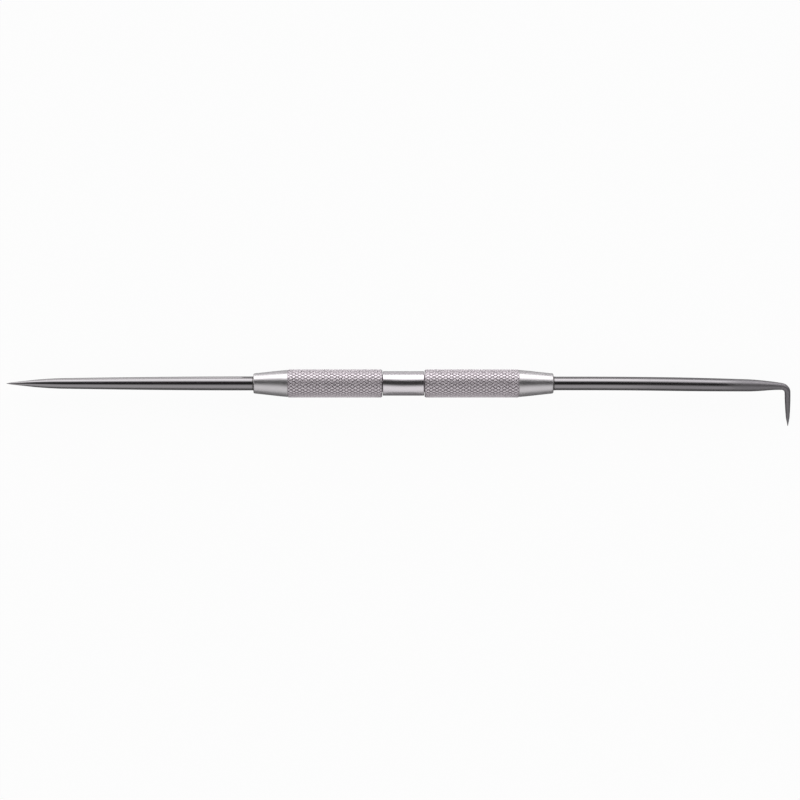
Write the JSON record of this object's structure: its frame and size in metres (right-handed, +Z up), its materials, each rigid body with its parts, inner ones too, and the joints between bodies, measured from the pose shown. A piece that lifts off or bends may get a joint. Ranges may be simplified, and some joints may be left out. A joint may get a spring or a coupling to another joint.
{
  "type": "two-point scriber",
  "caption": "Slim marking tool with a straight needle point and a square hooked point, each held in a diamond-knurled chuck barrel that unscrews from a plain centre band.",
  "frame": {"origin": "on the bench that the tool lies on, under the middle of its outline", "axes": "+X along the tool towards the hooked point, +Y away from the side that the hook is bent to, +Z up from the bench"},
  "size_m": [0.225, 0.0162, 0.0081],
  "materials": {
    "barrel_plate": "bright nickel plate over turned steel, with a satin diamond knurl",
    "spindle_plate": "bright nickel plate over a fine-turned band, with a cut thread at each end",
    "point_steel": "hardened tool steel, ground and polished, with a matt heat-darkened hook",
    "collet_steel": "hardened spring steel, oiled"
  },
  "bodies": {
    "spindle": {"centre_spindle": "spindle_plate"},
    "straight_collet": {"straight_collet": "collet_steel"},
    "straight_barrel": {"straight_barrel": "barrel_plate"},
    "straight_point": {"straight_point": "point_steel"},
    "hook_collet": {"hook_collet": "collet_steel"},
    "hook_barrel": {"hook_barrel": "barrel_plate"},
    "bent_point": {"bent_point": "point_steel"}
  },
  "joints": [
    {"name": "straight_barrel_travel", "type": "slide", "parent": "spindle", "child": "straight_collet", "axis": [-1, 0, 0], "range_m": [0, 0.009]},
    {"name": "straight_barrel_turn", "type": "hinge", "parent": "straight_collet", "child": "straight_barrel", "pos_m": [-0.00485, 0.0041, 0.00405], "axis": [-1, 0, 0], "range_deg": [0, 4320]},
    {"name": "straight_point_draw", "type": "slide", "parent": "straight_collet", "child": "straight_point", "axis": [-1, 0, 0], "range_m": [0, 0.018]},
    {"name": "hook_barrel_travel", "type": "slide", "parent": "spindle", "child": "hook_collet", "axis": [1, 0, 0], "range_m": [0, 0.009]},
    {"name": "hook_barrel_turn", "type": "hinge", "parent": "hook_collet", "child": "hook_barrel", "pos_m": [0.00765, 0.0041, 0.00405], "axis": [1, 0, 0], "range_deg": [0, 4320]},
    {"name": "bent_point_draw", "type": "slide", "parent": "hook_collet", "child": "bent_point", "axis": [1, 0, 0], "range_m": [0, 0.018]}
  ],
  "couplings": [
    {"joint": "straight_barrel_turn", "follows": "straight_barrel_travel", "rad_per_m": 8377.6},
    {"joint": "hook_barrel_turn", "follows": "hook_barrel_travel", "rad_per_m": 8377.6}
  ]
}
